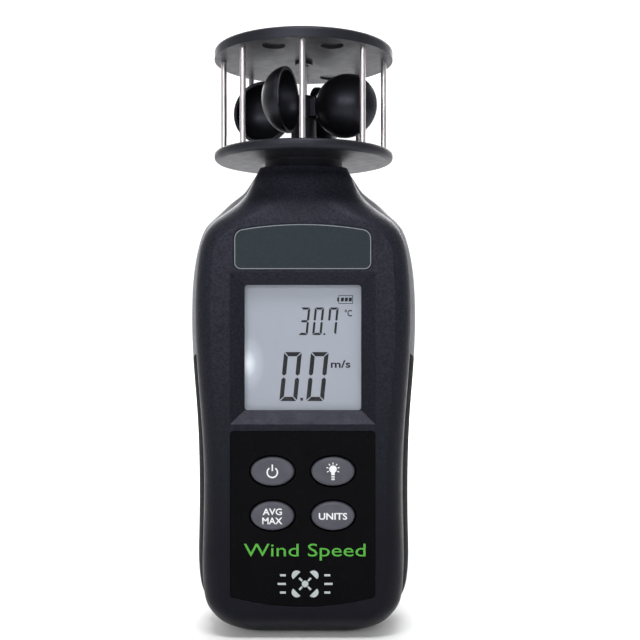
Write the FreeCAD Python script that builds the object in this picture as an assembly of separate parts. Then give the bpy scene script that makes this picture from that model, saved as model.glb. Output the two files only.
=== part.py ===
import FreeCAD, Part
import math
import os
from FreeCAD import Vector

# Handheld cup anemometer. Millimetres, Z up, the display faces -Y,
# and the origin lies on the base plane under the rotor axis.

# --- Allowances shared by several parts -------------------------------------
PAST = 1.0                     # cutters run this far past the face they open
SNUG = 0.1                     # clearance round pins, lips and screw shanks
REACH = 40.0                   # half-width of a block wider than the body
SAME = 1e-3                    # two heights closer than this are one height

# --- Body -------------------------------------------------------------------
SEAM_Y = -4.5                  # parting plane between the front and rear shells
FRONT_Y = -15.5                # flat front face
BACK_Y = 16.0                  # flat back face
FRONT_CROWN_Y = -15.8          # depth of the uncut sections, just past the two flats
BACK_CROWN_Y = 16.3
WALL = 2.0
NECK_TOP = 122.2
CAVITY_TOP = 118.0
CORNER_X = 12.5                # centre line of the round bottom corners
REAR_CORNER_R = 15.5
FRONT_CORNER_R = 13.4
FRONT_FOOT = 0.4               # the front shell stops this far above the base plane
FRONT_ROLL = (10.0, 9.0)       # depth and height of the roll from the base into the front face
REAR_ROLL = (6.0, 6.0)         # the same at the back
CORNER_ANGLES = range(0, 91, 15)
SECTION_ROUND = (6.5, 5.5)     # width and depth of the rounded long edges
SECTION_FLAT = (0.5, 0.3)      # width and depth left straight where a section is roundest
SEAM_STEP = 0.2                # least overhang of the rear shell at the seam
CAVITY_FLAT = 1.0              # straight front wall the cavity always keeps
BORE_OVERLAP = 0.5             # the neck bore reaches this far into the cavity
SEAM_LEDGE = 3.2               # depth of the sloped ledge where the rear shell swells
GRIP_RIM = 0.4                 # rear shell left showing between front shell and grip
GRIP_TOP = 73.0
GRIP_BACK_TOP = 64.0           # the top edge of the grip slopes down towards the back
GRIP_BACK_Y = 10.0
GRIP_FOOT = 1.2                # rubber thickness under the bottom corners
GRIP_START_X = 13.0
GRIP_WIDTH = 30.0
GRIP_SEAM_GAP = 0.2
LOFT_DEGREE = 3

# Side outline above the bottom corners, up to the neck:
# height, half-width of the rear shell, half-width of the front shell, inset of front and back.
OUTLINE = [
    (30.0, 28.0, 25.8, 0.0),
    (46.0, 28.1, 25.8, 0.0),
    (60.0, 28.8, 26.7, 0.0),
    (72.0, 29.7, 27.6, 0.0),
    (83.0, 30.0, 28.0, 0.0),
    (94.0, 29.5, 27.6, 0.0),
    (101.5, 28.2, 26.5, 0.0),
    (105.5, 26.9, 25.0, 0.1),
    (108.5, 24.7, 22.5, 0.4),
    (111.5, 21.5, 18.7, 1.0),
    (114.5, 17.9, 15.7, 1.9),
    (117.5, 14.8, 13.9, 2.9),
    (120.0, 13.1, 12.6, 4.0),
    (122.2, 11.9, 11.6, 5.0),
]
NECK_ROUND = (103.5, 116.0)    # the section turns from boxy to round between these heights

# --- Front face -------------------------------------------------------------
RECESS = (18.6, 55.4, 94.3)    # display recess at the face: half-width, bottom, top
WINDOW = (15.0, 58.8, 91.0)    # clear opening at its foot
WINDOW_CORNER_R = 0.8
WINDOW_LIP_Y = -13.3
LIP_BACK_Y = -12.6
BOSS_ROOT_Y = FRONT_CROWN_Y + WALL - 0.4    # bosses start inside the front wall
INLAY_DEPTH = 0.5
NAMEPLATE = (17.6, 94.8, 104.9, 106.6)    # half-width, straight edge, arch spring, arch crown
NAMEPLATE_CORNERS = (1.8, 2.6)            # corner radii at the straight and the arched end
OVERLAY = (18.4, 53.6, 11.5, 9.0)
OVERLAY_CORNERS = (0.8, 0.8)
OVERLAY_HOLE_BEVEL = 0.3
INLAY_GAP = 0.12
KEY_X = 7.7
KEY_Z = (43.5, 32.2)
KEY_SIZE = (10.9, 7.2)
KEY_GAP = 0.25
KEY_FRONT_Y = -16.5
KEY_FLANGE_Y = (-13.3, -12.3)
KEY_FLANGE_RIM = 0.9
KEY_STEM_R = 2.2
KEY_STEM_END = -9.4
KEY_EDGE_R = 0.7

# --- Stack behind the face --------------------------------------------------
LENS = (17.6, 56.6, 93.6, -12.6, -11.6)
GLASS = (17.0, 57.0, 95.4, -11.3, -9.6)
BACKLIGHT = (16.4, 58.0, 93.6, -9.5, -8.1)
HOLDER = (18.9, 55.0, 97.4, -11.5, -8.0)
HOLDER_INNER = (17.2, 56.8, 95.6)
HOLDER_CORNER_R = 1.0
ZEBRA = (15.0, 94.1, 95.3, -9.6, -8.0)
BOARD = (17.9, 13.0, 103.0, -8.0, -6.4)
BOARD_CORNER_R = 1.5
MAT = (16.0, 24.5, 50.5, -11.0, -10.0)
MAT_CORNER_R = 2.0
MAT_FOOT_INSET = (1.5, 2.5)    # feet under the mat, in from its side and its end
MAT_FOOT_HALF = (1.2, 1.5)
MAT_HOLE_GAP = 0.5
BOARD_POSTS = [(15.0, 16.5), (14.0, 99.8)]
POST_R = 2.0
BOARD_SCREW = (1.0, 2.0, 1.2)  # shank radius, head radius, half-length of the cross
BOARD_SCREW_TIP = -12.0
HOUSING_POSTS = [(20.9, 22.0), (20.9, 100.5)]
HOUSING_POST_R = 2.6
REAR_POST_R = 3.6
REAR_POST_GAP = 0.05
HOUSING_SCREW = (1.25, 2.4, 1.5)
HOUSING_SCREW_Y = (-11.5, 9.0)              # tip and head seat
HEAD_HEIGHT = 1.6
HEAD_GAP = 0.2
BLIND_END = 0.5                # screw holes run this far past the tip
DRIVE_ARM = 0.28               # half-width of the cross recess
DRIVE_FLOOR = 0.45             # its floor, as a share of the head height

# --- On the board: x, z, width, height, thickness ---------------------------
CHIPS = [
    (-6.0, 74.0, 12.0, 12.0, 1.6),
    (-8.0, 56.0, 7.0, 5.0, 1.5),
    (-10.0, 36.0, 5.0, 6.0, 1.6),
    (4.0, 58.0, 3.2, 5.0, 1.4),
    (10.0, 44.0, 4.5, 4.5, 2.4),
    (0.0, 92.0, 9.0, 3.0, 2.0),
]
PASSIVE = (-8.0, 65.1, 2.0, 1.2, 0.9)
PASSIVE_COUNT = 5
PASSIVE_PITCH = 4.0
BUZZER = (9.0, 82.0, 6.0, 4.5)              # x, z, radius, height
BUZZER_PORT = (1.0, 1.0)                    # radius, depth

# --- Batteries and cover ----------------------------------------------------
CELL_R = 5.2
CELL_LENGTH = 43.4
CELL_NUB = (1.9, 1.1)
CELL_PITCH = 11.2
CELL_Y = 8.3
CELL_Z = 17.2
BAY = (17.0, 12.6, 64.4)       # half-width, bottom, top
BAY_FLOOR_Y = 2.6
BAY_WALL = 1.4
BAY_SHELL = (2.4, 4.0, 5.0)    # wall outside the bay: sides, below, above
LEAF = (2.6, 4.5, 0.3)         # half-width, half-depth and thickness of a contact leaf
LEAF_FOLD = (1.2, 0.6)         # where its tongue leaves the base, front and back
LEAF_NOSE = 0.2
LEAF_GAP = 0.05
COVER = (17.4, 10.5, 67.6)
COVER_Y = (14.2, BACK_Y)
COVER_GAP = 0.2
COVER_DROP = 1.1               # opening below the hinge line
COVER_PIN_R = 0.6
COVER_PIN_LENGTH = 1.4
COVER_PIN_GAP = 0.3
GROOVE_COUNT = 4
GROOVE = (6.5, 0.9, 0.5)       # half-length of the top groove, height, depth
GROOVE_TOP = 6.0               # first groove below the free edge
GROOVE_PITCH = 2.0
GROOVE_TAPER = 1.0
LABEL = (14.0, 74.0, 91.0)
LABEL_DEPTH = 0.2
LABEL_CORNER_R = 1.5

# --- Wind head --------------------------------------------------------------
DISC_R = 24.0
LOWER_DISC = (124.4, 127.0)
UPPER_DISC = (151.7, 154.6)
UPPER_RIM_R = 1.0
LOWER_RIM_R = (0.9, 1.2)       # top and bottom edge of the lower disc
COLLAR_R = 10.4
SPIGOT = (8.8, 118.2)
SPIGOT_BORE = (6.2, 121.6)
SPIGOT_LIP = (9.6, 118.9, 119.7)
TOWER = (3.4, 136.2)
TOWER_EDGE_R = 0.8
ROD_R = 0.75
ROD_CIRCLE = 21.6
ROD_COUNT = 8
ROD_SEAT = 1.7
DIMPLE = (3.0, 0.5, 17.8)      # radius, depth and pitch radius of the recesses under the top disc
DIMPLE_ANGLES = (-24.5, 24.5, 155.5, 204.5)
SHAFT_R = 0.75
SHAFT_Z = (118.8, 152.6)
SHAFT_ROOM = 0.6               # clearance round the shaft between its bearings
RUN_GAP = 0.05
BEARING_R = 2.0
TOWER_BEARING = 2.0            # length of the bush in the tower top
BASE_BEARING = 2.4
BOSS = (2.4, 0.9)              # radius and drop of the boss under the top disc
TOP_BEARING = (1.7, 0.3, 1.0)  # radius, reach below and above the disc underside
TOP_BEARING_ROOM = 0.3
HUB = (3.2, 136.6, 142.4)
HUB_EDGE_R = 0.9
CUP_R = 8.5
CUP_DEPTH = 6.8
CUP_WALL = 0.8
CUP_CENTRE_R = 12.0
CUP_Z = 139.0
CUP_COUNT = 4
CUP_REST_ANGLE = -18.0
CUP_BEAD = 0.9                 # axial length of the beaded rim
CUP_LEAD = (0.5, 1.5)          # the inside opens this far behind and before the rim plane
CUP_WEB = (2.2, 5.4, 2.2, 2.4) # thickness, start and end from the axis, half-height
MAGNET = (4.0, 119.0, 121.2)
SENSOR_BOARD = (8.3, 1.2)      # radius, thickness
SENSOR_UNDER = SPIGOT[1] - SENSOR_BOARD[1]  # underside of the sensor board
HALL_SENSOR = ((1.5, 4.5), (-2.0, 2.0), 1.0)
THERMISTOR = ((-6.0, -4.4), (-0.8, 0.8), 0.8)
RIBBON = (3.0, 0.3, 95.0)      # half-width, thickness, lower end

ORIGIN = Vector(0, 0, 0)
AXIS_X = Vector(1, 0, 0)
AXIS_Y = Vector(0, 1, 0)
AXIS_Z = Vector(0, 0, 1)


# --- Plain solids -----------------------------------------------------------
def block(x, y, z):
    """Box from three (low, high) ranges."""
    corner = Vector(x[0], y[0], z[0])
    return Part.makeBox(x[1] - x[0], y[1] - y[0], z[1] - z[0], corner)


def mid_block(half, y, z):
    return block((-half, half), y, z)


def rod_z(radius, z, x=0.0, y=0.0):
    return Part.makeCylinder(radius, z[1] - z[0], Vector(x, y, z[0]), AXIS_Z)


def rod_y(radius, y, x, z):
    return Part.makeCylinder(radius, y[1] - y[0], Vector(x, y[0], z), AXIS_Y)


def rod_x(radius, x, y, z):
    return Part.makeCylinder(radius, x[1] - x[0], Vector(x[0], y, z), AXIS_X)


def rounded_plate(half, z, y, radius):
    """Upright plate with its four corners rounded."""
    plate = mid_block(half, y, z)
    edges = [e for e in plate.Edges if abs(e.tangentAt(e.FirstParameter).y) > 0.9]
    return plate.makeFillet(radius, edges)


def arched_plate(half, z_flat, z_spring, z_crown, corners, y, grow=0.0):
    """Upright plate with one straight end, one arched end and rounded corners."""
    way = 1.0 if z_crown > z_flat else -1.0
    flat = z_flat - way * grow
    spring = z_spring + way * grow
    side = half + grow
    left = Vector(-side, y[0], spring)
    right = Vector(side, y[0], spring)
    arch = Part.Arc(left, Vector(0, y[0], z_crown + way * grow), right).toShape()
    edges = [
        Part.makeLine(Vector(-side, y[0], flat), left),
        arch,
        Part.makeLine(right, Vector(side, y[0], flat)),
        Part.makeLine(Vector(side, y[0], flat), Vector(-side, y[0], flat)),
    ]
    plate = Part.Face(Part.Wire(edges)).extrude(Vector(0, y[1] - y[0], 0))
    for z, radius in ((flat, corners[0]), (spring, corners[1])):
        ends = [e for e in plate.Edges if e.BoundBox.ZLength < SAME and e.BoundBox.XLength < SAME
                and abs(e.BoundBox.ZMin - z) < SAME]
        plate = plate.makeFillet(radius + grow, ends)
    return plate


def oval(size, y, x, z, grow=0.0):
    """Elliptical outline, wider than it is tall."""
    middle = Vector(x, y, z)
    across = middle + Vector(size[0] / 2 + grow, 0, 0)
    up = middle + Vector(0, 0, size[1] / 2 + grow)
    return Part.Wire(Part.Ellipse(across, up, middle).toShape())


def oval_rod(size, y, x, z, grow=0.0):
    """Elliptical bar along Y."""
    return Part.Face(oval(size, y[0], x, z, grow)).extrude(Vector(0, y[1] - y[0], 0))


def oval_bevel(size, y, x, z, grow):
    """Elliptical cone between two depths; grow holds the growth at each."""
    ends = [oval(size, y[0], x, z, grow[0]), oval(size, y[1], x, z, grow[1])]
    return Part.makeLoft(ends, True, True)


def four_ways(places):
    """Mirror a list of (x, z) places to both sides."""
    return [(side * x, z) for x, z in places for side in (-1, 1)]


def turned(shape, degrees):
    copy = shape.copy()
    copy.rotate(ORIGIN, AXIS_Z, degrees)
    return copy


def clean(shape):
    return shape.removeSplitter()


# --- Body sections ----------------------------------------------------------
def blend(low, high, share):
    return low + (high - low) * share


def edge_roll(z, roll):
    """How far the front or back face draws in near the base, as a quarter ellipse."""
    depth, height = roll
    share = max(1.0 - z / height, 0.0)
    return depth * (1.0 - math.sqrt(1.0 - share ** 2))


def outline_rows(column, radius, foot, inset, roll=FRONT_ROLL):
    """(z, half-width, draw-in) rows from the base to the neck top."""
    rows = []
    centre = foot + radius
    for degrees in CORNER_ANGLES:
        angle = math.radians(degrees)
        z = centre - (radius - inset) * math.cos(angle)
        half = CORNER_X + (radius - inset) * math.sin(angle)
        rows.append((z, half, edge_roll(max(z - foot - inset, 0.0), roll)))
    for row in OUTLINE:
        rows.append((row[0], row[column] - inset, row[3]))
    return rows


def rounding(z, half, depth):
    """Corner width and depth of a section: boxy in the body, round at the neck."""
    share = (z - NECK_ROUND[0]) / (NECK_ROUND[1] - NECK_ROUND[0])
    share = min(max(share, 0.0), 1.0)
    wide = blend(SECTION_ROUND[0], half - SECTION_FLAT[0], share)
    deep = blend(SECTION_ROUND[1], depth - SECTION_FLAT[1], share)
    return wide, min(deep, depth - SECTION_FLAT[1])


def corner_arc(start, control, end):
    curve = Part.BezierCurve()
    curve.setPoles([start, control, end])
    curve.setWeight(2, math.sqrt(0.5))
    return curve.toShape()


def ring(z, start, steps):
    """Closed section, symmetric about X, from its right half.

    Each step is (corner, end); a step with no corner is a straight run.
    """
    sides = []
    for side in (1, -1):
        here = Vector(side * start[0], start[1], z)
        edges = []
        for corner, end in steps:
            there = Vector(side * end[0], end[1], z)
            if corner is None:
                edges.append(Part.makeLine(here, there))
            else:
                edges.append(corner_arc(here, Vector(side * corner[0], corner[1], z), there))
            here = there
        sides.append(edges)
    last = steps[-1][1]
    first_cap = Part.makeLine(Vector(-start[0], start[1], z), Vector(start[0], start[1], z))
    last_cap = Part.makeLine(Vector(last[0], last[1], z), Vector(-last[0], last[1], z))
    return Part.Wire([first_cap] + sides[0] + [last_cap] + sides[1][::-1])


def front_loft():
    wires = []
    for z, half, draw in outline_rows(2, FRONT_CORNER_R, FRONT_FOOT, 0.0):
        face = FRONT_CROWN_Y + draw
        wide, deep = rounding(z, half, SEAM_Y - face)
        steps = [
            ((half, face), (half, face + deep)),
            (None, (half, SEAM_Y)),
        ]
        wires.append(ring(z, (half - wide, face), steps))
    solid = Part.makeLoft(wires, True, False, False, LOFT_DEGREE)
    return solid.common(mid_block(REACH, (FRONT_Y, SEAM_Y), (-PAST, NECK_TOP + PAST)))


def rear_loft():
    fronts = outline_rows(2, FRONT_CORNER_R, FRONT_FOOT, 0.0)
    wires = []
    for row, front in zip(outline_rows(1, REAR_CORNER_R, 0.0, 0.0, REAR_ROLL), fronts):
        z, half, draw = row
        back = BACK_CROWN_Y - draw
        wide, deep = rounding(z, half, back - SEAM_Y - SEAM_LEDGE)
        seam = min(front[1], half - SEAM_STEP)
        steps = [
            ((half, SEAM_Y), (half, SEAM_Y + SEAM_LEDGE)),
            (None, (half, back - deep)),
            ((half, back), (half - wide, back)),
        ]
        wires.append(ring(z, (seam, SEAM_Y), steps))
    solid = Part.makeLoft(wires, True, False, False, LOFT_DEGREE)
    return solid.common(mid_block(REACH, (SEAM_Y, BACK_Y), (-PAST, NECK_TOP + PAST)))


def cavity():
    """Hollow inside both shells, up to the foot of the neck bore."""
    wires = []
    for z, half, draw in outline_rows(2, FRONT_CORNER_R, FRONT_FOOT, WALL):
        if z > CAVITY_TOP:
            continue
        face = FRONT_CROWN_Y + WALL + draw
        back = BACK_CROWN_Y - WALL - draw
        wide, deep = rounding(z, half, SEAM_Y - face)
        wide = min(wide, half - CAVITY_FLAT)
        steps = [
            ((half, face), (half, face + deep)),
            (None, (half, back - deep)),
            ((half, back), (half - wide, back)),
        ]
        wires.append(ring(z, (half - wide, face), steps))
    return Part.makeLoft(wires, True, False, False, LOFT_DEGREE)


def neck_bore():
    bore = rod_z(SPIGOT[0] + RUN_GAP, (CAVITY_TOP - BORE_OVERLAP, NECK_TOP + PAST))
    lip = rod_z(SPIGOT_LIP[0] + SNUG, (SPIGOT_LIP[1] - SNUG, SPIGOT_LIP[2] + SNUG))
    return bore.fuse(lip)


def grip_core():
    """Rear shell under the rubber: the front outline plus a thin rim."""
    wires = []
    for z, half, _draw in outline_rows(2, FRONT_CORNER_R, GRIP_FOOT, -GRIP_RIM):
        wires.append(ring(z, (half, SEAM_Y - PAST), [(None, (half, BACK_Y))]))
    return Part.makeLoft(wires, True, False, False, LOFT_DEGREE)


# --- Front shell and what is set into it ------------------------------------
def bevelled_recess():
    half, low, high = RECESS
    foot_half, foot_low, foot_high = WINDOW
    wires = []
    for w, z0, z1, y in ((half, low, high, FRONT_Y), (foot_half, foot_low, foot_high, WINDOW_LIP_Y)):
        corners = [Vector(-w, y, z0), Vector(w, y, z0), Vector(w, y, z1), Vector(-w, y, z1)]
        wires.append(Part.makePolygon(corners + corners[:1]))
    bevel = Part.makeLoft(wires, True, True)
    depth = (WINDOW_LIP_Y, LIP_BACK_Y + SNUG)
    opening = rounded_plate(foot_half, (foot_low, foot_high), depth, WINDOW_CORNER_R)
    return bevel.fuse(opening)


def key_places():
    return [(side * KEY_X, z) for z in KEY_Z for side in (-1, 1)]


def front_shell(outer, hollow, bore):
    shell = outer.cut(hollow)
    half, low, high = RECESS
    shell = shell.fuse(mid_block(half, (BOSS_ROOT_Y, LIP_BACK_Y), (low, high)))
    for x, z in four_ways(BOARD_POSTS):
        shell = shell.fuse(rod_y(POST_R, (BOSS_ROOT_Y, BOARD[3]), x, z))
    for x, z in four_ways(HOUSING_POSTS):
        shell = shell.fuse(rod_y(HOUSING_POST_R, (BOSS_ROOT_Y, SEAM_Y), x, z))
    inlay = (FRONT_Y - SNUG, FRONT_Y + INLAY_DEPTH)
    cutters = [
        bore,
        bevelled_recess(),
        arched_plate(*NAMEPLATE, NAMEPLATE_CORNERS, inlay, INLAY_GAP),
        arched_plate(*OVERLAY, OVERLAY_CORNERS, inlay, INLAY_GAP),
    ]
    for x, z in key_places():
        cutters.append(oval_rod(KEY_SIZE, (FRONT_Y - PAST, LIP_BACK_Y + PAST), x, z, KEY_GAP))
    for x, z in four_ways(BOARD_POSTS):
        cutters.append(rod_y(BOARD_SCREW[0], (BOARD_SCREW_TIP - BLIND_END, BOARD[3] + PAST), x, z))
    for x, z in four_ways(HOUSING_POSTS):
        cutters.append(rod_y(HOUSING_SCREW[0], (HOUSING_SCREW_Y[0] - BLIND_END, SEAM_Y + PAST), x, z))
    return clean(shell.cut(cutters))


def keypad_overlay():
    y = (FRONT_Y, FRONT_Y + INLAY_DEPTH)
    plate = arched_plate(*OVERLAY, OVERLAY_CORNERS, y)
    bevel = OVERLAY_HOLE_BEVEL
    for x, z in key_places():
        plate = plate.cut(oval_rod(KEY_SIZE, (y[0] - PAST, y[1] + PAST), x, z, KEY_GAP))
        plate = plate.cut(oval_bevel(KEY_SIZE, (y[0], y[0] + bevel), x, z, (KEY_GAP + bevel, KEY_GAP)))
    return plate


def button(x, z):
    """Silicone key: crowned oval cap, retaining flange and contact stem."""
    cap = oval_rod(KEY_SIZE, (KEY_FRONT_Y, KEY_FLANGE_Y[0]), x, z)
    edge = min(cap.Edges, key=lambda e: e.BoundBox.YMax)
    cap = cap.makeFillet(KEY_EDGE_R, [edge])
    flange = oval_rod(KEY_SIZE, KEY_FLANGE_Y, x, z, KEY_FLANGE_RIM)
    stem = rod_y(KEY_STEM_R, (KEY_FLANGE_Y[1], KEY_STEM_END), x, z)
    return clean(cap.fuse([flange, stem]))


def keypad_mat():
    half, low, high, front, back = MAT
    mat = rounded_plate(half, (low, high), (front, back), MAT_CORNER_R)
    in_x, in_z = MAT_FOOT_INSET
    wide, tall = MAT_FOOT_HALF
    feet = []
    for x, z in four_ways([(half - in_x, low + in_z), (half - in_x, high - in_z)]):
        feet.append(block((x - wide, x + wide), (back, BOARD[3]), (z - tall, z + tall)))
    depth = (front - PAST, back + PAST)
    holes = [rod_y(KEY_STEM_R + MAT_HOLE_GAP, depth, x, z) for x, z in key_places()]
    return clean(mat.fuse(feet).cut(holes))


def lcd_holder():
    half, low, high, front, back = HOLDER
    inner, inner_low, inner_high = HOLDER_INNER
    frame = rounded_plate(half, (low, high), (front, back), HOLDER_CORNER_R)
    return frame.cut(mid_block(inner, (front - PAST, back + PAST), (inner_low, inner_high)))


def flat_slab(sizes):
    half, low, high, front, back = sizes
    return mid_block(half, (front, back), (low, high))


# --- Circuit ----------------------------------------------------------------
def main_board():
    half, low, high, front, back = BOARD
    board = rounded_plate(half, (low, high), (front, back), BOARD_CORNER_R)
    depth = (front - PAST, back + PAST)
    return board.cut([rod_y(BOARD_SCREW[0] + SNUG, depth, x, z) for x, z in four_ways(BOARD_POSTS)])


def board_chip(x, z, wide, tall, thick):
    y = (BOARD[4], BOARD[4] + thick)
    return block((x - wide / 2, x + wide / 2), y, (z - tall / 2, z + tall / 2))


def board_components():
    """Chips and a row of passives on the rear of the board."""
    chips = [board_chip(*chip) for chip in CHIPS]
    first, *rest = PASSIVE
    for index in range(PASSIVE_COUNT):
        chips.append(board_chip(first + index * PASSIVE_PITCH, *rest))
    return Part.makeCompound(chips)


def buzzer():
    x, z, radius, height = BUZZER
    port_r, port_depth = BUZZER_PORT
    top = BOARD[4] + height
    return rod_y(radius, (BOARD[4], top), x, z).cut(rod_y(port_r, (top - port_depth, top + PAST), x, z))


def screw(sizes, x, z, y_tip, y_seat):
    """Pan-head screw driven from the back, with a cross recess."""
    shank, head, drive = sizes
    y_top = y_seat + HEAD_HEIGHT
    body = rod_y(shank, (y_tip, y_seat), x, z).fuse(rod_y(head, (y_seat, y_top), x, z))
    depth = (y_seat + HEAD_HEIGHT * DRIVE_FLOOR, y_top + PAST)
    cross = [
        block((x - drive, x + drive), depth, (z - DRIVE_ARM, z + DRIVE_ARM)),
        block((x - DRIVE_ARM, x + DRIVE_ARM), depth, (z - drive, z + drive)),
    ]
    return clean(body.cut(cross))


def screw_set(sizes, places, y_tip, y_seat):
    return Part.makeCompound([screw(sizes, x, z, y_tip, y_seat) for x, z in four_ways(places)])


# --- Rear shell, grips and batteries ----------------------------------------
def side_grip(outer, core, side):
    """Rubber inlay along one side and round the bottom corner."""
    start = GRIP_START_X if side > 0 else -GRIP_START_X - GRIP_WIDTH
    front = SEAM_Y + GRIP_SEAM_GAP
    outline = [(front, -PAST), (GRIP_BACK_Y, -PAST), (GRIP_BACK_Y, GRIP_BACK_TOP), (front, GRIP_TOP)]
    points = [Vector(start, y, z) for y, z in outline]
    zone = Part.Face(Part.makePolygon(points + points[:1])).extrude(Vector(GRIP_WIDTH, 0, 0))
    return clean(outer.common(zone).cut(core))


def bay_walls():
    half, low, high = BAY
    side, below, above = BAY_SHELL
    return mid_block(half + side, (BAY_FLOOR_Y - BAY_WALL, BACK_Y), (low - below, high + above))


def cover_pin_y():
    return (COVER_Y[0] + COVER_Y[1]) / 2


def cover_pins(grow, radius_grow):
    """Hinge pin line across the cover, or the bearing for it when grown."""
    reach = COVER[0] + COVER_PIN_LENGTH + grow
    return rod_x(COVER_PIN_R + radius_grow, (-reach, reach), cover_pin_y(), COVER[1])


def cover_opening():
    half, hinge_z, top = COVER
    depth = (COVER_Y[0] - COVER_GAP, BACK_Y + PAST)
    frame = mid_block(half + COVER_GAP, depth, (hinge_z - COVER_DROP, top + COVER_GAP))
    return frame.fuse(cover_pins(COVER_PIN_GAP, SNUG))


def rear_shell(outer, hollow, bore, grips):
    shell = outer.cut(hollow)
    shell = shell.fuse(bay_walls())
    for x, z in four_ways(HOUSING_POSTS):
        shell = shell.fuse(rod_y(REAR_POST_R, (SEAM_Y + REAR_POST_GAP, BACK_Y), x, z).common(outer))
    half, low, high = BAY
    cutters = [
        bore,
        mid_block(half, (BAY_FLOOR_Y, BACK_Y), (low, high)),
        cover_opening(),
        rounded_plate(LABEL[0], LABEL[1:], (BACK_Y - LABEL_DEPTH, BACK_Y + PAST), LABEL_CORNER_R),
    ] + grips
    for x, z in four_ways(HOUSING_POSTS):
        cutters.append(rod_y(HOUSING_SCREW[0] + SNUG, (SEAM_Y - PAST, BACK_Y), x, z))
        cutters.append(rod_y(HOUSING_SCREW[1] + HEAD_GAP, (HOUSING_SCREW_Y[1], BACK_Y + PAST), x, z))
    return clean(shell.cut(cutters))


def rear_label():
    half, low, high = LABEL
    depth = (BACK_Y - LABEL_DEPTH, BACK_Y)
    return rounded_plate(half - SNUG, (low + SNUG, high - SNUG), depth, LABEL_CORNER_R - SNUG)


def battery_cover():
    """Door with a round hinge edge, two end pins and a ribbed thumb patch."""
    half, hinge_z, top = COVER
    plate = mid_block(half, COVER_Y, (hinge_z, top))
    edge = rod_x((COVER_Y[1] - COVER_Y[0]) / 2, (-half, half), cover_pin_y(), hinge_z)
    length, tall, deep = GROOVE
    grooves = []
    for index in range(GROOVE_COUNT):
        z = top - GROOVE_TOP - GROOVE_PITCH * index
        depth = (BACK_Y - deep, BACK_Y + PAST)
        grooves.append(mid_block(length - GROOVE_TAPER * index, depth, (z, z + tall)))
    return clean(plate.fuse([edge, cover_pins(0.0, 0.0)]).cut(grooves))


def cell(index):
    """AAA cell; the middle one faces the other way."""
    x = (index - 1) * CELL_PITCH
    nub_r, nub = CELL_NUB
    can_low = CELL_Z + (nub if index == 1 else 0.0)
    can = rod_z(CELL_R, (can_low, can_low + CELL_LENGTH), x, CELL_Y)
    nub_z = (CELL_Z, can_low) if index == 1 else (can_low + CELL_LENGTH, can_low + CELL_LENGTH + nub)
    return can.fuse(rod_z(nub_r, nub_z, x, CELL_Y))


def leaf(index, side):
    """Bent leaf contact pressing on a cell end; side is +1 at the top, -1 at the bottom."""
    x = (index - 1) * CELL_PITCH
    wall = BAY[2] if side > 0 else BAY[1]
    tip = CELL_Z + CELL_LENGTH + CELL_NUB[1] if side > 0 else CELL_Z
    reach = abs(wall - tip) - LEAF_GAP
    half, base, thick = LEAF
    fold, back_fold = LEAF_FOLD
    shape = [(-base, 0), (base, 0), (base, thick), (fold, thick), (LEAF_NOSE, reach),
             (-LEAF_NOSE, reach), (back_fold, thick), (-base, thick)]
    points = [Vector(x - half, CELL_Y + along, wall - side * out) for along, out in shape]
    return Part.Face(Part.makePolygon(points + points[:1])).extrude(Vector(2 * half, 0, 0))


# --- Wind head --------------------------------------------------------------
def rod_places():
    step = 360.0 / ROD_COUNT
    places = []
    for index in range(ROD_COUNT):
        angle = math.radians(index * step)
        places.append((ROD_CIRCLE * math.sin(angle), -ROD_CIRCLE * math.cos(angle)))
    return places


def rim_rounded(disc, radius, level):
    """Disc with its outer edge at the given height rounded."""
    edges = [e for e in disc.Edges if abs(e.BoundBox.ZMax - level) < SAME and e.BoundBox.ZLength < SAME
             and len(e.Vertexes) == 1]
    return disc.makeFillet(radius, edges)


def lower_disc():
    low, high = LOWER_DISC
    disc = rim_rounded(rod_z(DISC_R, (low, high)), LOWER_RIM_R[0], high)
    disc = rim_rounded(disc, LOWER_RIM_R[1], low)
    collar = rod_z(COLLAR_R, (NECK_TOP, low))
    spigot = rod_z(SPIGOT[0], (SPIGOT[1], NECK_TOP))
    lip = rod_z(SPIGOT_LIP[0], SPIGOT_LIP[1:3])
    tower = rod_z(TOWER[0], (high, TOWER[1]))
    top_edge = max(tower.Edges, key=lambda e: e.BoundBox.ZMin)
    tower = tower.makeFillet(TOWER_EDGE_R, [top_edge])
    body = disc.fuse([collar, spigot, lip, tower])
    cutters = [
        rod_z(SPIGOT_BORE[0], (SPIGOT[1] - PAST, SPIGOT_BORE[1])),
        rod_z(SHAFT_R + SHAFT_ROOM, (SPIGOT[1] - PAST, TOWER[1] + PAST)),
        rod_z(BEARING_R, (TOWER[1] - TOWER_BEARING, TOWER[1] + PAST)),
        rod_z(BEARING_R, (SPIGOT_BORE[1] - SNUG, SPIGOT_BORE[1] + BASE_BEARING)),
    ]
    cutters += [rod_z(ROD_R, (high - ROD_SEAT, high + PAST), x, y) for x, y in rod_places()]
    return clean(body.cut(cutters))


def upper_disc():
    low, high = UPPER_DISC
    disc = rim_rounded(rod_z(DISC_R, (low, high)), UPPER_RIM_R, high)
    boss_r, drop = BOSS
    seat_r, below, above = TOP_BEARING
    cutters = [
        rod_z(seat_r, (low - below, low + above + TOP_BEARING_ROOM)),
        rod_z(SHAFT_R + SHAFT_ROOM, (low - drop - PAST, low)),
    ]
    cutters += [rod_z(ROD_R, (low - PAST, low + ROD_SEAT), x, y) for x, y in rod_places()]
    radius, depth, pitch = DIMPLE
    for degrees in DIMPLE_ANGLES:
        angle = math.radians(degrees)
        x, y = pitch * math.sin(angle), -pitch * math.cos(angle)
        cutters.append(rod_z(radius, (low - PAST, low + depth), x, y))
    return clean(disc.fuse(rod_z(boss_r, (low - drop, low))).cut(cutters))


def guard_rods():
    z = (LOWER_DISC[1] - ROD_SEAT, UPPER_DISC[0] + ROD_SEAT)
    return Part.makeCompound([rod_z(ROD_R, z, x, y) for x, y in rod_places()])


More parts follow.
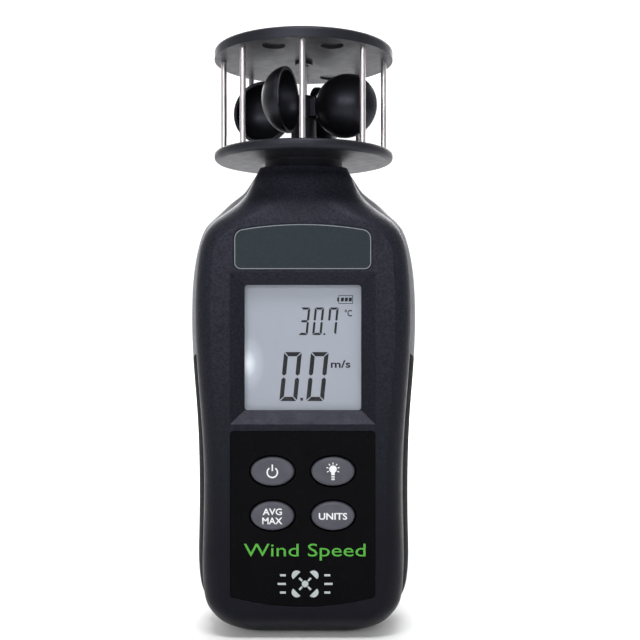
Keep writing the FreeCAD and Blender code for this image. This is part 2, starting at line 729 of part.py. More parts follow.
def bush(radius, z):
    return rod_z(radius, z).cut(rod_z(SHAFT_R + RUN_GAP, (z[0] - PAST, z[1] + PAST)))


def rotor_hub():
    radius, low, high = HUB
    hub = rod_z(radius, (low, high))
    top_edge = max(hub.Edges, key=lambda e: e.BoundBox.ZMin)
    hub = hub.makeFillet(HUB_EDGE_R, [top_edge])
    return hub.cut(rod_z(SHAFT_R, (low - PAST, high + PAST)))


def dome(radius, depth):
    """Half ellipsoid on the -X side of the rim plane."""
    ball = Part.makeSphere(radius)
    squash = FreeCAD.Matrix()
    squash.scale(Vector(depth / radius, 1, 1))
    ball = ball.transformGeometry(squash)
    span = (-2 * radius, 2 * radius)
    return ball.common(block((-2 * radius, 0), span, span))


def cup(index):
    """Thin hemispherical cup with a beaded rim and a short web to the hub."""
    shell = dome(CUP_R, CUP_DEPTH)
    rim = Part.makeCylinder(CUP_R, CUP_BEAD, Vector(-CUP_BEAD, 0, 0), AXIS_X)
    centre = Vector(0, -CUP_CENTRE_R, CUP_Z)
    shell = shell.fuse(rim)
    shell.translate(centre)
    thick, outer, inner, tall = CUP_WEB
    web = block((-thick, 0.0), (-outer, -inner), (CUP_Z - tall, CUP_Z + tall))
    behind, before = CUP_LEAD
    inside = dome(CUP_R - CUP_WALL, CUP_DEPTH - CUP_WALL)
    inside = inside.fuse(Part.makeCylinder(CUP_R - CUP_WALL, behind + before, Vector(-behind, 0, 0), AXIS_X))
    inside.translate(centre)
    hub_space = rod_z(HUB[0], (HUB[1] - PAST, HUB[2] + PAST))
    whole = clean(shell.fuse(web).cut([inside, hub_space]))
    return turned(whole, CUP_REST_ANGLE + index * 360.0 / CUP_COUNT)


def magnet():
    radius, low, high = MAGNET
    return rod_z(radius, (low, high)).cut(rod_z(SHAFT_R, (low - PAST, high + PAST)))


def under_sensor_board(x, y, height):
    """Component hanging from the underside of the sensor board."""
    return block(x, y, (SENSOR_UNDER - height, SENSOR_UNDER))


# --- Build and write --------------------------------------------------------
def all_parts():
    bore = neck_bore()
    hollow = cavity()
    rear_outer = rear_loft()
    core = grip_core()
    left = side_grip(rear_outer, core, -1)
    right = side_grip(rear_outer, core, 1)
    top_bearing_z = (UPPER_DISC[0] - TOP_BEARING[1], UPPER_DISC[0] + TOP_BEARING[2])
    parts = {
        "front_shell": front_shell(front_loft(), hollow, bore),
        "rear_shell": rear_shell(rear_outer, hollow, bore, [left, right]),
        "side_grip_left": left,
        "side_grip_right": right,
        "battery_cover": battery_cover(),
        "rear_label": rear_label(),
        "nameplate": arched_plate(*NAMEPLATE, NAMEPLATE_CORNERS, (FRONT_Y, FRONT_Y + INLAY_DEPTH)),
        "keypad_overlay": keypad_overlay(),
        "keypad_mat": keypad_mat(),
        "lcd_window": flat_slab(LENS),
        "lcd_glass": flat_slab(GLASS),
        "lcd_backlight": flat_slab(BACKLIGHT),
        "lcd_holder": lcd_holder(),
        "zebra_connector": flat_slab(ZEBRA),
        "main_board": main_board(),
        "board_components": board_components(),
        "buzzer": buzzer(),
        "board_screws": screw_set(BOARD_SCREW, BOARD_POSTS, BOARD_SCREW_TIP, BOARD[4]),
        "housing_screws": screw_set(HOUSING_SCREW, HOUSING_POSTS, *HOUSING_SCREW_Y),
        "batteries": Part.makeCompound([cell(index) for index in range(3)]),
        "battery_springs": Part.makeCompound([leaf(index, -1) for index in range(3)]),
        "battery_contacts": Part.makeCompound([leaf(index, 1) for index in range(3)]),
        "lower_disc": lower_disc(),
        "upper_disc": upper_disc(),
        "guard_rods": guard_rods(),
        "rotor_shaft": rod_z(SHAFT_R, SHAFT_Z),
        "rotor_hub": rotor_hub(),
        "rotor_magnet": magnet(),
        "lower_bearing": bush(BEARING_R, (TOWER[1] - TOWER_BEARING, TOWER[1])),
        "base_bearing": bush(BEARING_R, (SPIGOT_BORE[1], SPIGOT_BORE[1] + BASE_BEARING)),
        "upper_bearing": bush(TOP_BEARING[0], top_bearing_z),
        "sensor_board": rod_z(SENSOR_BOARD[0], (SENSOR_UNDER, SPIGOT[1])),
        "hall_sensor": under_sensor_board(*HALL_SENSOR),
        "thermistor": under_sensor_board(*THERMISTOR),
        "sensor_ribbon": mid_block(RIBBON[0], (BOARD[4], BOARD[4] + RIBBON[1]), (RIBBON[2], SENSOR_UNDER)),
    }
    names = ("button_power", "button_light", "button_avg_max", "button_units")
    for name, (x, z) in zip(names, key_places()):
        parts[name] = button(x, z)
    for index in range(CUP_COUNT):
        parts["cup_%d" % (index + 1)] = cup(index)
    return parts


os.makedirs("parts", exist_ok=True)
for node, shape in all_parts().items():
    shape.exportStep("parts/%s.step" % node)
    box = shape.BoundBox
    print("%-18s solids %d valid %s volume %9.1f  x %.1f..%.1f y %.1f..%.1f z %.1f..%.1f" % (
        node, len(shape.Solids), shape.isValid(), shape.Volume,
        box.XMin, box.XMax, box.YMin, box.YMax, box.ZMin, box.ZMax))
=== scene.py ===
import math

import bmesh
import bpy
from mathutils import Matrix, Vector


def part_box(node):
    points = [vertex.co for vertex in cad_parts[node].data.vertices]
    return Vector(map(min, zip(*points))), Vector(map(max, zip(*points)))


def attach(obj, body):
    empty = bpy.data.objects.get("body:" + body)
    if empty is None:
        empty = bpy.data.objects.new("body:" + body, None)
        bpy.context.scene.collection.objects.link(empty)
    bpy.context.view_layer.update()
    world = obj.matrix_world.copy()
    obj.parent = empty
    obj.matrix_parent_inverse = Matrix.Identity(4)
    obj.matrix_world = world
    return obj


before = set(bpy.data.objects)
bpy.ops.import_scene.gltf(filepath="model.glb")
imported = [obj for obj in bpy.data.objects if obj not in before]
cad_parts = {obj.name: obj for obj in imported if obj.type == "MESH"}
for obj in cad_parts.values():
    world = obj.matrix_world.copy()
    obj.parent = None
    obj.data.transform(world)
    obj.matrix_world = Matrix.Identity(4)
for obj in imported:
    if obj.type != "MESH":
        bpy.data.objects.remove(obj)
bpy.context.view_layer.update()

MM = 0.001
KEYS = ("button_power", "button_light", "button_avg_max", "button_units")
# Sheen of the dark plastics: slightly blue, as under the cool side light.
COOL = (0.76, 0.77, 1.0)


# --- Node helpers -------------------------------------------------------------
class Shader:
    """A Principled material with helpers for procedural colour, roughness and bump."""

    def __init__(self, name, base, roughness, metallic=0.0, specular=0.5, tint=(1.0, 1.0, 1.0)):
        self.material = bpy.data.materials.new(name)
        self.material.use_nodes = True
        self.tree = self.material.node_tree
        self.bsdf = self.tree.nodes["Principled BSDF"]
        self.bsdf.inputs["Base Color"].default_value = (*base, 1.0)
        self.bsdf.inputs["Roughness"].default_value = roughness
        self.bsdf.inputs["Metallic"].default_value = metallic
        self.bsdf.inputs["Specular IOR Level"].default_value = specular
        self.bsdf.inputs["Specular Tint"].default_value = (*tint, 1.0)
        self.coords = self.tree.nodes.new("ShaderNodeTexCoord").outputs["Object"]
        self.normal = None

    def link(self, out, socket):
        self.tree.links.new(out, socket)

    def noise(self, grain, detail=2.0, stretch=(1, 1, 1)):
        """Noise with features about grain millimetres across."""
        source = self.coords
        if stretch != (1, 1, 1):
            mapping = self.tree.nodes.new("ShaderNodeMapping")
            mapping.inputs["Scale"].default_value = stretch
            self.link(source, mapping.inputs["Vector"])
            source = mapping.outputs["Vector"]
        node = self.tree.nodes.new("ShaderNodeTexNoise")
        node.inputs["Scale"].default_value = 1.0 / (grain * MM)
        node.inputs["Detail"].default_value = detail
        self.link(source, node.inputs["Vector"])
        return node.outputs["Fac"]

    def ramp(self, factor, stops):
        """Colour ramp; stops are (position, rgb)."""
        node = self.tree.nodes.new("ShaderNodeValToRGB")
        elements = node.color_ramp.elements
        while len(elements) > 1:
            elements.remove(elements[-1])
        elements[0].position = stops[0][0]
        elements[0].color = (*stops[0][1], 1.0)
        for position, colour in stops[1:]:
            elements.new(position).color = (*colour, 1.0)
        self.link(factor, node.inputs["Fac"])
        return node.outputs["Color"]

    def colour(self, factor, dark, light, low=0.35, high=0.65):
        self.link(self.ramp(factor, [(low, dark), (high, light)]), self.bsdf.inputs["Base Color"])

    def fade(self, heights, shares):
        """Painted light and shade: scales the base colour by a share that changes between two heights in
        millimetres.
        """
        socket = self.bsdf.inputs["Base Color"]
        split = self.tree.nodes.new("ShaderNodeSeparateXYZ")
        self.link(self.coords, split.inputs["Vector"])
        share = self.tree.nodes.new("ShaderNodeMapRange")
        share.inputs["From Min"].default_value = heights[0] * MM
        share.inputs["From Max"].default_value = heights[1] * MM
        share.inputs["To Min"].default_value = shares[0]
        share.inputs["To Max"].default_value = shares[1]
        self.link(split.outputs["Z"], share.inputs["Value"])
        scale = self.tree.nodes.new("ShaderNodeVectorMath")
        scale.operation = "SCALE"
        self.link(socket.links[0].from_socket, scale.inputs["Vector"])
        self.link(share.outputs["Result"], scale.inputs["Scale"])
        self.link(scale.outputs["Vector"], socket)

    def rough(self, factor, low, high):
        node = self.tree.nodes.new("ShaderNodeMapRange")
        node.inputs["From Min"].default_value = 0.3
        node.inputs["From Max"].default_value = 0.7
        node.inputs["To Min"].default_value = low
        node.inputs["To Max"].default_value = high
        self.link(factor, node.inputs["Value"])
        self.link(node.outputs["Result"], self.bsdf.inputs["Roughness"])

    def round_edges(self, radius):
        """Softens the shading of sharp moulded edges, radius in millimetres."""
        node = self.tree.nodes.new("ShaderNodeBevel")
        node.samples = 4
        node.inputs["Radius"].default_value = radius * MM
        self.chain_normal(node.outputs["Normal"])

    def bump(self, height, strength, depth):
        """Bump of depth millimetres."""
        node = self.tree.nodes.new("ShaderNodeBump")
        node.inputs["Strength"].default_value = strength
        node.inputs["Distance"].default_value = depth * MM
        self.link(height, node.inputs["Height"])
        if self.normal is not None:
            self.link(self.normal, node.inputs["Normal"])
        self.chain_normal(node.outputs["Normal"])

    def chain_normal(self, output):
        self.normal = output
        self.link(output, self.bsdf.inputs["Normal"])


# --- Materials ----------------------------------------------------------------
def moulded(name, dark, light, roughness, grain=0.22, depth=0.02, edge=0.25, specular=0.5,
            tint=(1.0, 1.0, 1.0), speckle=0.7, strength=0.6, fade=None):
    """Spark-textured moulded plastic."""
    s = Shader(name, light, roughness, specular=specular, tint=tint)
    s.colour(s.noise(speckle, 3.0), dark, light)
    # Painted light and shade: the base colour is scaled by height.
    if fade:
        s.fade(*fade)
    s.rough(s.noise(2.5, 4.0), roughness - 0.03, roughness + 0.05)
    if edge:
        s.round_edges(edge)
    s.bump(s.noise(grain, 2.0), strength, depth)
    return s.material


def rubber(name, dark, light, roughness=0.7, grain=0.35, depth=0.02):
    s = Shader(name, light, roughness, specular=0.3)
    s.colour(s.noise(4.0, 3.0), dark, light)
    s.rough(s.noise(1.5, 2.0), roughness - 0.06, roughness + 0.08)
    s.round_edges(0.3)
    s.bump(s.noise(grain, 2.0), 0.4, depth)
    return s.material


def gloss(name, dark, light, roughness, specular=0.5):
    s = Shader(name, light, roughness, specular=specular)
    s.colour(s.noise(8.0, 2.0), dark, light)
    s.rough(s.noise(5.0, 3.0), roughness * 0.8, roughness * 1.3)
    return s.material


def metal(name, dark, light, roughness, grain=0.4, stretch=(1, 1, 1), depth=0.004):
    s = Shader(name, light, roughness, metallic=1.0)
    s.colour(s.noise(1.2, 3.0, stretch), dark, light)
    s.rough(s.noise(grain, 3.0, stretch), roughness * 0.7, roughness * 1.4)
    if depth:
        s.bump(s.noise(grain, 2.0, stretch), 0.3, depth)
    return s.material


def clear_window(name):
    """Clear acrylic: mostly see-through, with a gloss of its own."""
    s = Shader(name, (0.01, 0.01, 0.012), 0.04)
    s.bsdf.inputs["Alpha"].default_value = 0.06
    s.rough(s.noise(6.0, 2.0), 0.03, 0.06)
    return s.material


def lcd_face(name):
    """Reflective LCD with a painted highlight: brighter where the side light enters on the left, and
    glowing a little with painted light.
    """
    dim, lit, bright = (0.30, 0.325, 0.375), (0.40, 0.44, 0.50), (0.8, 0.84, 0.9)
    s = Shader(name, lit, 0.3, specular=0.3)
    low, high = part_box("lcd_glass")
    painted_highlight_spot = (low.x + 2.6 * MM, low.y, (low.z + high.z) / 2 - 5.5 * MM)
    gradient = s.tree.nodes.new("ShaderNodeTexGradient")
    gradient.gradient_type = "SPHERICAL"
    mapping = s.tree.nodes.new("ShaderNodeMapping")
    mapping.vector_type = "TEXTURE"
    mapping.inputs["Location"].default_value = painted_highlight_spot
    mapping.inputs["Scale"].default_value = (4.5 * MM, 4.5 * MM, 7.5 * MM)
    s.link(s.coords, mapping.inputs["Vector"])
    s.link(mapping.outputs["Vector"], gradient.inputs["Vector"])
    colour = s.ramp(gradient.outputs["Fac"], [(0.0, dim), (0.5, lit), (1.0, bright)])
    s.link(colour, s.bsdf.inputs["Base Color"])
    # Painted glow: the face emits its own colour.
    s.link(colour, s.bsdf.inputs["Emission Color"])
    s.bsdf.inputs["Emission Strength"].default_value = 0.3
    s.bump(s.noise(0.3, 1.0), 0.1, 0.002)
    return s.material


def ink(name, base, roughness=0.45, glow=0.0):
    s = Shader(name, base, roughness, specular=0.3)
    shade = tuple(c * 0.9 for c in base)
    s.colour(s.noise(0.5, 2.0), shade, base)
    if glow:
        s.bsdf.inputs["Emission Color"].default_value = (*base, 1.0)
        s.bsdf.inputs["Emission Strength"].default_value = glow
    return s.material


def circuit(name):
    """Green solder mask with darker copper-pour patches."""
    s = Shader(name, (0.01, 0.12, 0.04), 0.35)
    cells = s.tree.nodes.new("ShaderNodeTexVoronoi")
    cells.distance = "CHEBYCHEV"
    cells.inputs["Scale"].default_value = 350
    s.link(s.coords, cells.inputs["Vector"])
    s.colour(cells.outputs["Distance"], (0.008, 0.09, 0.03), (0.02, 0.18, 0.06), 0.2, 0.5)
    s.bump(cells.outputs["Distance"], 0.3, 0.03)
    return s.material


def paint(node, material):
    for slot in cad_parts[node].material_slots:
        slot.material = material


def paint_frame():
    # The front shell is painted darker towards the bottom and lighter towards the top: painted shade
    # below, painted light above.
    shell = moulded("front_plastic", (0.004, 0.004, 0.0062), (0.0125, 0.0125, 0.0185), 0.4, 0.5, 0.08,
                    specular=0.19, tint=COOL, speckle=0.45, strength=0.8,
                    fade=((25.0, 100.0), (0.15, 1.5)))
    silver = moulded("silver_plastic", (0.19, 0.19, 0.205), (0.23, 0.23, 0.25), 0.45, 0.3, 0.006,
                     specular=0.3)
    grip = rubber("grip_rubber", (0.007, 0.007, 0.008), (0.012, 0.012, 0.013))
    disc_dark, disc_light = (0.0085, 0.0088, 0.0105), (0.0105, 0.0108, 0.0125)
    disc = moulded("disc_plastic", disc_dark, disc_light, 0.45, 0.4, 0.02, specular=0.35, tint=COOL)
    # Below 123.9 mm the lower disc part is painted near-black: painted shade under the disc.
    lower = moulded("lower_disc_plastic", disc_dark, disc_light, 0.45, 0.4, 0.02, specular=0.35, tint=COOL,
                    fade=((123.9, 124.7), (0.05, 1.0)))
    cup = moulded("cup_plastic", (0.004, 0.004, 0.0048), (0.0055, 0.0055, 0.0065), 0.36, 0.5, 0.006, 0.15,
                  0.35, tint=COOL)
    steel = metal("rod_steel", (0.62, 0.58, 0.6), (0.7, 0.66, 0.68), 0.36, 0.6, (1, 1, 0.15), 0.0)
    zinc = metal("zinc_steel", (0.45, 0.46, 0.48), (0.6, 0.6, 0.6), 0.35)
    board = circuit("solder_mask")
    chip = moulded("chip_epoxy", (0.008, 0.008, 0.009), (0.015, 0.015, 0.016), 0.5, 0.1, 0.01)
    looks = {
        "front_shell": shell,
        "rear_shell": silver,
        "battery_cover": silver,
        "side_grip_left": grip,
        "side_grip_right": grip,
        "rear_label": gloss("label_foil", (0.5, 0.5, 0.52), (0.6, 0.6, 0.62), 0.3),
        "nameplate": moulded("nameplate_print", (0.012, 0.019, 0.025), (0.014, 0.022, 0.029), 0.55, 0.15,
                             0.003, 0.0, 0.2),
        "keypad_overlay": gloss("overlay_gloss", (0.0008, 0.0008, 0.0013), (0.0013, 0.0013, 0.002),
                                0.16, 0.05),
        "keypad_mat": rubber("mat_silicone", (0.3, 0.31, 0.32), (0.4, 0.41, 0.42)),
        "lcd_window": clear_window("window_acrylic"),
        "lcd_glass": lcd_face("lcd_face"),
        "lcd_backlight": gloss("backlight_acrylic", (0.75, 0.78, 0.8), (0.85, 0.87, 0.9), 0.3),
        "lcd_holder": moulded("holder_abs", (0.6, 0.6, 0.57), (0.72, 0.72, 0.7), 0.5),
        "zebra_connector": rubber("zebra_rubber", (0.1, 0.06, 0.07), (0.5, 0.35, 0.4)),
        "main_board": board,
        "sensor_board": board,
        "board_components": chip,
        "buzzer": chip,
        "hall_sensor": chip,
        "thermistor": chip,
        "board_screws": zinc,
        "housing_screws": zinc,
        "battery_springs": metal("spring_nickel", (0.6, 0.6, 0.58), (0.75, 0.75, 0.72), 0.25),
        "battery_contacts": metal("contact_nickel", (0.6, 0.6, 0.58), (0.75, 0.75, 0.72), 0.25),
        "batteries": gloss("cell_sleeve", (0.03, 0.05, 0.09), (0.06, 0.09, 0.14), 0.3),
        "sensor_ribbon": gloss("ribbon_film", (0.35, 0.14, 0.02), (0.5, 0.22, 0.04), 0.25),
        "lower_disc": lower,
        "upper_disc": disc,
        "guard_rods": steel,
        "rotor_shaft": steel,
        "rotor_magnet": metal("magnet_nickel", (0.5, 0.5, 0.48), (0.65, 0.65, 0.63), 0.2),
        "lower_bearing": metal("bearing_brass", (0.55, 0.38, 0.12), (0.7, 0.52, 0.22), 0.3),
        "rotor_hub": cup,
    }
    looks["base_bearing"] = looks["upper_bearing"] = looks["lower_bearing"]
    for index in range(1, 5):
        looks["cup_%d" % index] = cup
    key = rubber("key_silicone", (0.056, 0.056, 0.071), (0.069, 0.069, 0.086), 0.5, 0.35, 0.012)
    for name in KEYS:
        looks[name] = key
    for node, material in looks.items():
        paint(node, material)


# --- Flat printed shapes --------------------------------------------------------
PRINT = 0.02 * MM  # thickness of every print


def printed(name, mesh, material, body):
    """Puts a printed mesh in the scene, riding on its body."""
    mesh.materials.append(material)
    piece = bpy.data.objects.new(name, mesh)
    bpy.context.scene.collection.objects.link(piece)
    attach(piece, body)


def flat_piece(name, outlines, y, material, body):
    """Thin print: outlines of (x, z) points in millimetres, facing -Y at depth y (metres)."""
    mesh = bpy.data.meshes.new(name)
    build = bmesh.new()
    for outline in outlines:
        front = [build.verts.new((x * MM, y - PRINT, z * MM)) for x, z in outline]
        back = [build.verts.new((x * MM, y, z * MM)) for x, z in outline]
        build.faces.new(front)
        build.faces.new(back[::-1])
        count = len(outline)
        for i in range(count):
            j = (i + 1) % count
            build.faces.new((front[i], back[i], back[j], front[j]))
    bmesh.ops.recalc_face_normals(build, faces=build.faces)
    build.to_mesh(mesh)
    build.free()
    printed(name, mesh, material, body)


def text_piece(name, words, middle, size, y, material, body, weight=0.0):
    """Lettering fitted to a (width, height) box in millimetres, centred on (x, z)."""
    curve = bpy.data.curves.new(name + "_curve", "FONT")
    curve.body = words
    curve.resolution_u = 3
    curve.offset = weight
    curve.extrude = 0.5
    holder = bpy.data.objects.new(name + "_curve", curve)
    bpy.context.scene.collection.objects.link(holder)
    bpy.context.view_layer.update()
    evaluated = holder.evaluated_get(bpy.context.evaluated_depsgraph_get())
    mesh = bpy.data.meshes.new_from_object(evaluated)
    bpy.data.objects.remove(holder)
    xs = [v.co.x for v in mesh.vertices]
    ys = [v.co.y for v in mesh.vertices]
    scale_x = size[0] * MM / (max(xs) - min(xs))
    scale_z = size[1] * MM / (max(ys) - min(ys))
    mid_x = (max(xs) + min(xs)) / 2
    mid_y = (max(ys) + min(ys)) / 2
    for v in mesh.vertices:
        x = (v.co.x - mid_x) * scale_x + middle[0] * MM
        z = (v.co.y - mid_y) * scale_z + middle[1] * MM
        v.co = Vector((x, y - (v.co.z + 0.5) * PRINT, z))
    mesh.name = name
    mesh.materials.clear()
    printed(name, mesh, material, body)


def arc(centre, radius, start, end, steps=16):
    points = []
    for i in range(steps + 1):
        angle = math.radians(start + (end - start) * i / steps)
        points.append((centre[0] + radius * math.cos(angle), centre[1] + radius * math.sin(angle)))
    return points


def band(centre, radius, start, end, width, steps=24):
    """Curved stroke of the given width."""
    outer = arc(centre, radius + width / 2, start, end, steps)
    inner = arc(centre, radius - width / 2, start, end, steps)
    return outer + inner[::-1]


def ray_at(degrees):
    """Unit direction in the plane of the face."""
    angle = math.radians(degrees)
    return Vector((math.cos(angle), math.sin(angle)))


def bar(a, b, width):
    """Straight stroke from a to b."""
    along = Vector((b[0] - a[0], b[1] - a[1])).normalized()
    side = Vector((-along.y, along.x)) * width / 2
    return [(a[0] + side.x, a[1] + side.y), (b[0] + side.x, b[1] + side.y),
            (b[0] - side.x, b[1] - side.y), (a[0] - side.x, a[1] - side.y)]


def rectangle(left, low, right, high):
    return [(left, low), (right, low), (right, high), (left, high)]


# --- Display --------------------------------------------------------------------
BOLD = 0.02
SEGMENTS = {"0": "abcdef", "3": "abcdg", "7": "abcf"}
LEAN = 0.1
# Rows of figures: base height, figure width and height, bar thickness (millimetres).
TEMPERATURE_ROW = (78.1, 2.45, 7.15, 0.58)
SPEED_ROW = (61.0, 4.6, 12.7, 1.1)


def segment_shapes(char, x, row):
    """Outlines of one seven-segment figure; x is its left edge."""
    z, wide, tall, thick = row
    gap = thick * 0.12
    half = tall / 2

    def slanted(points):
        return [(x + px + pz * LEAN, z + pz) for px, pz in points]

    def level(edge, sign):
        """Top or bottom bar, mitred into the corners."""
        inner = edge + sign * thick
        return [(gap + 0.1 * thick, edge), (wide - gap - 0.1 * thick, edge),
                (wide - gap - thick, inner), (gap + thick, inner)]

    def upright(edge, end, sign, way):
        """Side bar from the outer corner to a pointed end beside the middle."""
        inner = edge + sign * thick
        tip = half - way * gap * 1.6
        shoulder = tip - way * thick * 0.45
        return [(edge, end + way * (gap + 0.1 * thick)), (edge, shoulder),
                (edge + sign * thick * 0.5, tip), (inner, shoulder), (inner, end + way * (gap + thick))]

    near, far, rise = gap + thick, wide - gap - thick, thick / 2
    middle = [(gap + thick * 0.5, half), (near, half + rise), (far, half + rise),
              (wide - gap - thick * 0.5, half), (far, half - rise), (near, half - rise)]
    shapes = {
        "a": level(tall, -1),
        "d": level(0, 1),
        "g": middle,
        "b": upright(wide, tall, -1, -1),
        "c": upright(wide, 0, -1, 1),
        "f": upright(0, tall, 1, -1),
        "e": upright(0, 0, 1, 1),
    }
    return [slanted(shapes[name]) for name in SEGMENTS[char]]


def display_figures():
    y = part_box("lcd_glass")[0].y
    dark = ink("segment_ink", (0.012, 0.013, 0.016), 0.5)
    outlines = []
    for char, x in (("3", -1.25), ("0", 2.35), ("7", 6.1)):
        outlines += segment_shapes(char, x, TEMPERATURE_ROW)
    outlines.append(rectangle(5.3, 78.1, 5.75, 78.6))  # decimal point
    for char, x in (("0", -6.15), ("0", 0.8)):
        outlines += segment_shapes(char, x, SPEED_ROW)
    outlines.append(rectangle(-0.7, 61.1, 0.0, 61.85))  # decimal point
    outlines += battery_icon()
    flat_piece("lcd_figures", outlines, y, dark, "housing")
    for name, words, middle, size in (
            ("lcd_unit_speed", "m/s", (9.75, 70.6), (5.1, 2.0)),
            ("lcd_unit_temperature", "°C", (11.75, 83.8), (1.9, 1.8))):
        text_piece(name, words, middle, size, y, dark, "housing", BOLD)


def battery_icon():
    """Battery outline with its terminal on the left and three slanted charge bars."""
    left, right, low, high, line = 9.2, 12.9, 86.2, 88.4, 0.16
    inset, terminal = 0.6, 0.35
    first, pitch, width, slant = 0.55, 1.02, 0.78, 0.12
    shapes = [
        rectangle(left, low, right, low + line),
        rectangle(left, high - line, right, high),
        rectangle(left, low + line, left + line, high - line),
        rectangle(right - line, low + line, right, high - line),
        rectangle(left - terminal, low + inset, left, high - inset),
    ]
    for index in range(3):
        x = left + first + index * pitch
        shapes.append([(x, low + inset), (x + width, low + inset),
                       (x + width + slant, high - inset), (x + slant, high - inset)])
    return shapes


# --- Key legends and overlay print ------------------------------------------------
def key_front(name):
    """Depth of a key's face in metres, and its centre (x, z) in millimetres."""
    low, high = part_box(name)
    return low.y, (low.x + high.x) / 2 / MM, (low.z + high.z) / 2 / MM


def legends():
    white = ink("legend_white", (0.75, 0.76, 0.78), 0.5)
    y, x, z = key_front("button_power")
    stroke = 0.36
    symbol = [band((x, z - 0.15), 1.3, 125, 415, stroke), bar((x, z + 0.2), (x, z + 1.85), stroke)]
    flat_piece("legend_power", symbol, y, white, "button_power_key")

    y, x, z = key_front("button_light")
    heart = Vector((x, z + 0.65))
    neck, line = 0.42, 0.24
    shapes = [arc(heart, 0.95, -62, 242, 24) + [(x - neck, z - 0.85), (x + neck, z - 0.85)]]
    for step in range(3):
        level = z - 1.05 - 0.4 * step
        shapes.append(rectangle(x - neck, level, x + neck, level - line))
    for degrees in (-25, 15, 52, 90, 128, 165, 205):
        ray = ray_at(degrees)
        shapes.append(bar(heart + ray * 1.2, heart + ray * 1.7, line))
    flat_piece("legend_light", shapes, y, white, "button_light_key")

    for name, words, key, rise, size in (
            ("legend_avg", "AVG", "button_avg_max", 1.15, (4.9, 1.7)),
            ("legend_max", "MAX", "button_avg_max", -1.15, (5.1, 1.7)),
            ("legend_units", "UNITS", "button_units", 0.0, (7.2, 1.75))):
        y, x, z = key_front(key)
        text_piece(name, words, (x, z + rise), size, y, white, key + "_key", BOLD)


def overlay_print():
    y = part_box("keypad_overlay")[0].y
    green = ink("print_green", (0.07, 0.36, 0.035), 0.45)
    pale = ink("print_pale", (0.42, 0.46, 0.47), 0.5)
    text_piece("print_wind_speed", "Wind Speed", (0.5, 22.9), (31.0, 4.3), y, green,
               "housing")
    # Rotor seen from above: hub, four arms with half-round cups, wind bars on both sides.
    hub = Vector((0.6, 14.8))
    shapes = [arc(hub, 0.85, 0, 345, 20)]
    for turn in (45, 135, 225, 315):
        out = ray_at(turn)
        shapes.append(bar(hub + out * 1.05, hub + out * 2.1, 0.5))
        shapes.append(arc(hub + out * 3.0, 1.3, turn - 90, turn + 90, 16))
    for side in (-1, 1):
        for row, reach in ((2.2, 6.4), (0.0, 7.0), (-2.2, 6.4)):
            start, end = Vector((side * 4.9, row)), Vector((side * reach, row))
            shapes.append(bar(hub + start, hub + end, 0.55))
    flat_piece("print_rotor_icon", shapes, y, pale, "housing")


NAMEPLATE_CORNERS = (1.8, 2.6)  # radius at the foot and at the shoulder
NAMEPLATE_RISE = 1.7  # height of the arched top
EDGE_HIGHLIGHT_INSETS = (0.2, 0.4)  # the painted edge highlight line runs between these insets


def plate_outline(half, low, crown, inset):
    """Outline of the nameplate with its arched top, drawn in by inset."""
    foot, shoulder = NAMEPLATE_CORNERS
    radius = (half ** 2 + NAMEPLATE_RISE ** 2) / (2 * NAMEPLATE_RISE)
    centre = crown - radius
    x = half - shoulder
    z = centre + math.sqrt((radius - shoulder) ** 2 - x ** 2)
    lean = math.degrees(math.atan2(z - centre, x))
    return (arc((foot - half, low + foot), foot - inset, 180, 270, 6)
            + arc((half - foot, low + foot), foot - inset, 270, 360, 6)
            + arc((x, z), shoulder - inset, 0, lean, 6)
            + arc((0, centre), radius - inset, lean, 180 - lean, 24)
            + arc((-x, z), shoulder - inset, 180 - lean, 180, 6))


def nameplate_edge_highlight():
    # Light grey line just inside the nameplate's edge: a painted highlight along the edge.
    low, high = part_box("nameplate")
    line = ink("painted_edge_highlight", (0.2, 0.215, 0.24), 0.5)
    outer, inner = (plate_outline(high.x / MM, low.z / MM, high.z / MM, inset) for inset in EDGE_HIGHLIGHT_INSETS)
    count = len(outer)
    pieces = []
    for i in range(count):
        j = (i + 1) % count
        if (Vector(outer[i]) - Vector(outer[j])).length > 1e-4:
            pieces.append([outer[i], outer[j], inner[j], inner[i]])
    flat_piece("nameplate_edge_highlight", pieces, low.y, line, "housing")


# --- Stage ------------------------------------------------------------------------
AIM = (0.0, 0.0, 0.08)


def graded(tree, value, start, end, low, high):
    """Map Range node that grows from low to high while value goes from start to end."""
    node = tree.nodes.new("ShaderNodeMapRange")
    for name, number in (("From Min", start), ("From Max", end), ("To Min", low), ("To Max", high)):
        node.inputs[name].default_value = number
    tree.links.new(value, node.inputs["Value"])
    return node


def sweep_paper():
    """White paper that glows a little more towards the back."""
    s = Shader("sweep_paper", (0.86, 0.86, 0.86), 0.9, specular=0.1)
    s.colour(s.noise(300.0, 2.0), (0.85, 0.85, 0.855), (0.87, 0.87, 0.87))
    split = s.tree.nodes.new("ShaderNodeSeparateXYZ")
    s.link(s.coords, split.inputs["Vector"])
    glow = graded(s.tree, split.outputs["Y"], -0.05, 0.5, 0.0, 0.5)
    s.link(glow.outputs["Result"], s.bsdf.inputs["Emission Strength"])
    s.bsdf.inputs["Emission Color"].default_value = (1.0, 1.0, 1.0, 1.0)
    return s.material


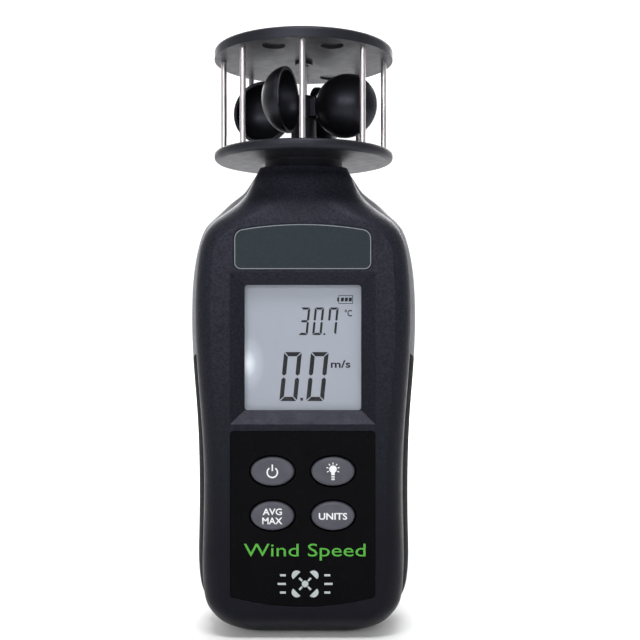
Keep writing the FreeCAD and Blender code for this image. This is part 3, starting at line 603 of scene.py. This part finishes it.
def sweep():
    """Pale sweep: floor rising into a wall behind (metres)."""
    mesh = bpy.data.meshes.new("sweep")
    half, near, bend, radius, height = 2.5, -1.6, 0.7, 0.6, 2.6
    steps = 16
    profile = [(near, 0.0), (bend, 0.0)]
    for step in range(1, steps + 1):
        angle = math.radians(90 * step / steps)
        profile.append((bend + radius * math.sin(angle), radius * (1 - math.cos(angle))))
    profile.append((bend + radius, height))
    verts = [(side, y, z) for y, z in profile for side in (-half, half)]
    faces = [(2 * i, 2 * i + 1, 2 * i + 3, 2 * i + 2) for i in range(len(profile) - 1)]
    mesh.from_pydata(verts, [], faces)
    for face in mesh.polygons:
        face.use_smooth = True
    ground = bpy.data.objects.new("sweep", mesh)
    bpy.context.scene.collection.objects.link(ground)
    mesh.materials.append(sweep_paper())


# World strength along each axis of the view direction: from, to, and the strengths there.
WORLD_RAMPS = (("Y", -0.2, 0.9, 0.36, 1.0), ("Z", -0.1, 0.2, 0.1, 1.0))


def studio_world():
    """White surroundings, weaker in front of the part and below it."""
    world = bpy.data.worlds.new("studio_world")
    world.use_nodes = True
    tree = world.node_tree
    direction = tree.nodes.new("ShaderNodeTexCoord").outputs["Generated"]
    split = tree.nodes.new("ShaderNodeSeparateXYZ")
    tree.links.new(direction, split.inputs["Vector"])
    strength = tree.nodes.new("ShaderNodeMath")
    strength.operation = "MULTIPLY"
    for slot, (axis, *limits) in enumerate(WORLD_RAMPS):
        ramp = graded(tree, split.outputs[axis], *limits)
        ramp.interpolation_type = "SMOOTHSTEP"
        tree.links.new(ramp.outputs["Result"], strength.inputs[slot])
    tree.links.new(strength.outputs["Value"], tree.nodes["Background"].inputs["Strength"])
    tree.nodes["Background"].inputs["Color"].default_value = (1.0, 1.0, 1.0, 1.0)
    bpy.context.scene.world = world


def area_light(name, place, size, power):
    """Softbox aimed at the middle of the part: place and size in metres, power in watts."""
    light = bpy.data.lights.new(name, "AREA")
    light.shape = "RECTANGLE"
    light.size, light.size_y = size
    light.energy = power
    lamp = bpy.data.objects.new(name, light)
    lamp.location = place
    lamp.rotation_euler = (Vector(AIM) - Vector(place)).to_track_quat("-Z", "Y").to_euler()
    bpy.context.scene.collection.objects.link(lamp)


def lights():
    area_light("key_softbox", (-0.2, -0.9, 0.38), (0.8, 0.22), 3.6)
    area_light("top_softbox", (0.0, -0.4, 0.8), (0.34, 0.18), 4.5)
    area_light("back_softbox", (0.0, 0.75, 0.5), (1.0, 0.5), 6.0)


def camera():
    """Level view straight from the front."""
    data = bpy.data.cameras.new("camera")
    data.sensor_width = 36.0
    data.lens = 54.45
    data.clip_start = 0.01
    data.clip_end = 20.0
    view = bpy.data.objects.new("camera", data)
    view.location = (4.4 * MM, -262.0 * MM, 82.0 * MM)
    view.rotation_euler = (math.radians(90), 0, 0)
    bpy.context.scene.collection.objects.link(view)
    bpy.context.scene.camera = view


paint_frame()
display_figures()
legends()
overlay_print()
nameplate_edge_highlight()
sweep()
studio_world()
lights()
camera()
bpy.context.scene.view_settings.view_transform = "Standard"
